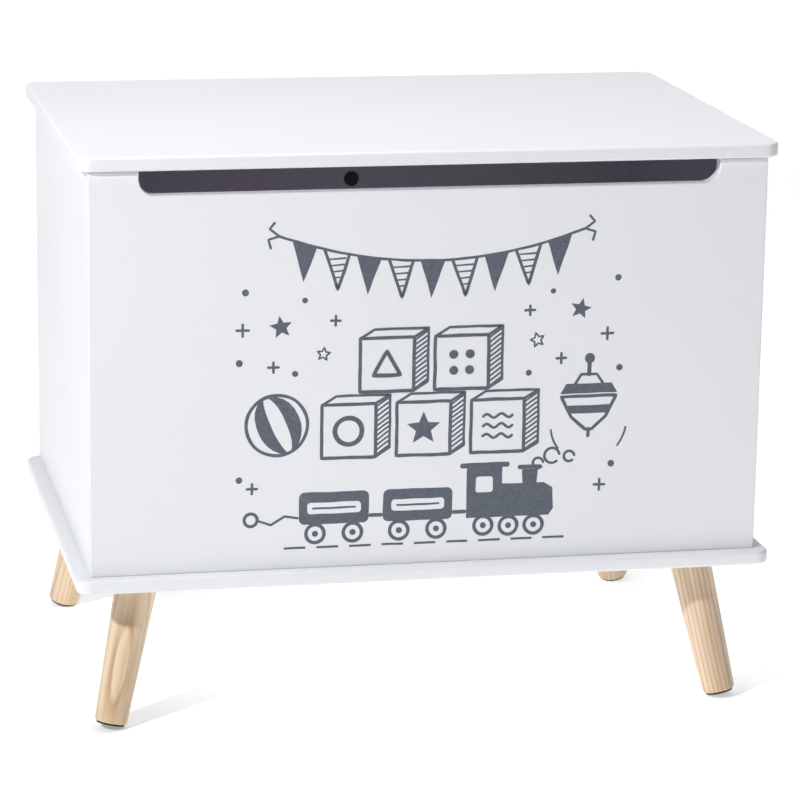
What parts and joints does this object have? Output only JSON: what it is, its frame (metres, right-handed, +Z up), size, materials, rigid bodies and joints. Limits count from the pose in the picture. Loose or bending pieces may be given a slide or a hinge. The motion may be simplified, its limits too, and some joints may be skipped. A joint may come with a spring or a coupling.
{
  "type": "toy box",
  "caption": "Flat-lidded white toy box with a finger slot in its front panel, a bottom plate and splayed round wooden legs.",
  "frame": {"origin": "centre of the bounding box in X and Y, on the floor under the foot pads", "axes": "+X to the box's right along the lid's long side, -Y out of the front panel, +Z up"},
  "size_m": [0.6, 0.4314, 0.495],
  "materials": {
    "white_lacquer": "satin white lacquer on fibreboard",
    "pine": "clear satin varnish",
    "beech": "raw",
    "black_foam": "matt",
    "zinc_steel": "zinc plated",
    "cast_zinc": "cast, dull",
    "nickel_steel": "nickel plated",
    "spring_steel": "dark, oiled",
    "clear_rubber": "translucent, matt",
    "white_plastic": "matt",
    "print_ink": "screen-printed ink, matt",
    "dark_plastic": "satin"
  },
  "bodies": {
    "box": {"bottom_plate": "white_lacquer", "front_panel": "white_lacquer", "back_panel": "white_lacquer", "left_side_panel": "white_lacquer", "right_side_panel": "white_lacquer", "hanger_bolts": "zinc_steel", "leg_mount_screws": "zinc_steel", "panel_screws": "zinc_steel", "panel_dowels": "beech", "cam_bolts": "zinc_steel", "cam_locks": "cast_zinc", "lid_bumpers": "clear_rubber", "back_panel_plug": "dark_plastic", "hinge_box_screws": "nickel_steel", "leg_front_left": "pine", "foot_pad_front_left": "black_foam", "leg_mount_front_left": "zinc_steel", "leg_front_right": "pine", "foot_pad_front_right": "black_foam", "leg_mount_front_right": "zinc_steel", "leg_back_left": "pine", "foot_pad_back_left": "black_foam", "leg_mount_back_left": "zinc_steel", "leg_back_right": "pine", "foot_pad_back_right": "black_foam", "leg_mount_back_right": "zinc_steel", "hinge_box_leaf_left": "nickel_steel", "hinge_friction_sleeve_left": "spring_steel", "hinge_box_leaf_right": "nickel_steel", "hinge_friction_sleeve_right": "spring_steel"},
    "lid_body": {"lid": "white_lacquer", "hinge_lid_leaf_left": "nickel_steel", "hinge_lid_leaf_right": "nickel_steel", "hinge_pin_left": "nickel_steel", "hinge_pin_right": "nickel_steel", "hinge_caps": "white_plastic", "hinge_lid_screws": "nickel_steel"}
  },
  "joints": [
    {"name": "lid_hinge", "type": "hinge", "parent": "box", "child": "lid_body", "pos_m": [0, 0.21025, 0.4822], "axis": [-1, 0, 0], "range_deg": [0, 90]}
  ]
}
